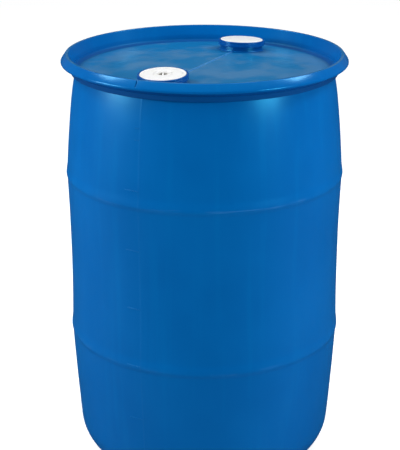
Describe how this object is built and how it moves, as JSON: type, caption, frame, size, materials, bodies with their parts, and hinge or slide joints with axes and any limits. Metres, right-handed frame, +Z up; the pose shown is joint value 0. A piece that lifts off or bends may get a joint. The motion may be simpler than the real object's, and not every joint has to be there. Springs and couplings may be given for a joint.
{
  "type": "plastic chemical drum",
  "caption": "Closed-head blow-moulded plastic drum with a handling ring, two rolling hoops and two threaded bungs whose plugs unscrew.",
  "frame": {"origin": "centre of the standing face, on the floor", "axes": "+Z up the drum's axis; the two bungs lie on X, the coarse-threaded one at -X and the fine-threaded one at +X"},
  "size_m": [0.587, 0.587, 0.889],
  "materials": {
    "drum_blue": "satin blue polyethylene, slightly waxy",
    "collar_blue": "smooth moulded blue polyethylene",
    "plug_white": "white moulded polyethylene, semi-gloss",
    "gasket_rubber": "dark grey rubber"
  },
  "bodies": {
    "drum": {"drum_shell": "drum_blue", "handling_ring": "drum_blue", "coarse_bung_collar": "collar_blue", "fine_bung_collar": "collar_blue"},
    "coarse_gasket_body": {"coarse_gasket": "gasket_rubber"},
    "coarse_plug_body": {"coarse_plug": "plug_white"},
    "centre_gasket_body": {"centre_gasket": "gasket_rubber"},
    "centre_plug_body": {"centre_plug": "plug_white"},
    "fine_gasket_body": {"fine_gasket": "gasket_rubber"},
    "fine_plug_body": {"fine_plug": "plug_white"}
  },
  "joints": [
    {"name": "coarse_plug_rise", "type": "slide", "parent": "drum", "child": "coarse_gasket_body", "axis": [-0.0581, 0, 0.9983], "range_m": [0, 0.02255]},
    {"name": "coarse_plug_turn", "type": "hinge", "parent": "coarse_gasket_body", "child": "coarse_plug_body", "pos_m": [-0.181, 0, 0.8585], "axis": [-0.0581, 0, 0.9983], "range_deg": [0, 1350]},
    {"name": "centre_plug_rise", "type": "slide", "parent": "coarse_plug_body", "child": "centre_gasket_body", "axis": [-0.0581, 0, 0.9983], "range_m": [0, 0.01093]},
    {"name": "centre_plug_turn", "type": "hinge", "parent": "centre_gasket_body", "child": "centre_plug_body", "pos_m": [-0.181, 0, 0.8585], "axis": [-0.0581, 0, 0.9983], "range_deg": [0, 2160]},
    {"name": "fine_plug_rise", "type": "slide", "parent": "drum", "child": "fine_gasket_body", "axis": [0.0581, 0, 0.9983], "range_m": [0, 0.01993]},
    {"name": "fine_plug_turn", "type": "hinge", "parent": "fine_gasket_body", "child": "fine_plug_body", "pos_m": [0.181, 0, 0.8585], "axis": [0.0581, 0, 0.9983], "range_deg": [0, 3240]}
  ],
  "couplings": [
    {"joint": "coarse_plug_rise", "follows": "coarse_plug_turn", "m_per_rad": 0.00095493},
    {"joint": "centre_plug_rise", "follows": "centre_plug_turn", "m_per_rad": 0.00028871},
    {"joint": "fine_plug_rise", "follows": "fine_plug_turn", "m_per_rad": 0.00035157}
  ]
}
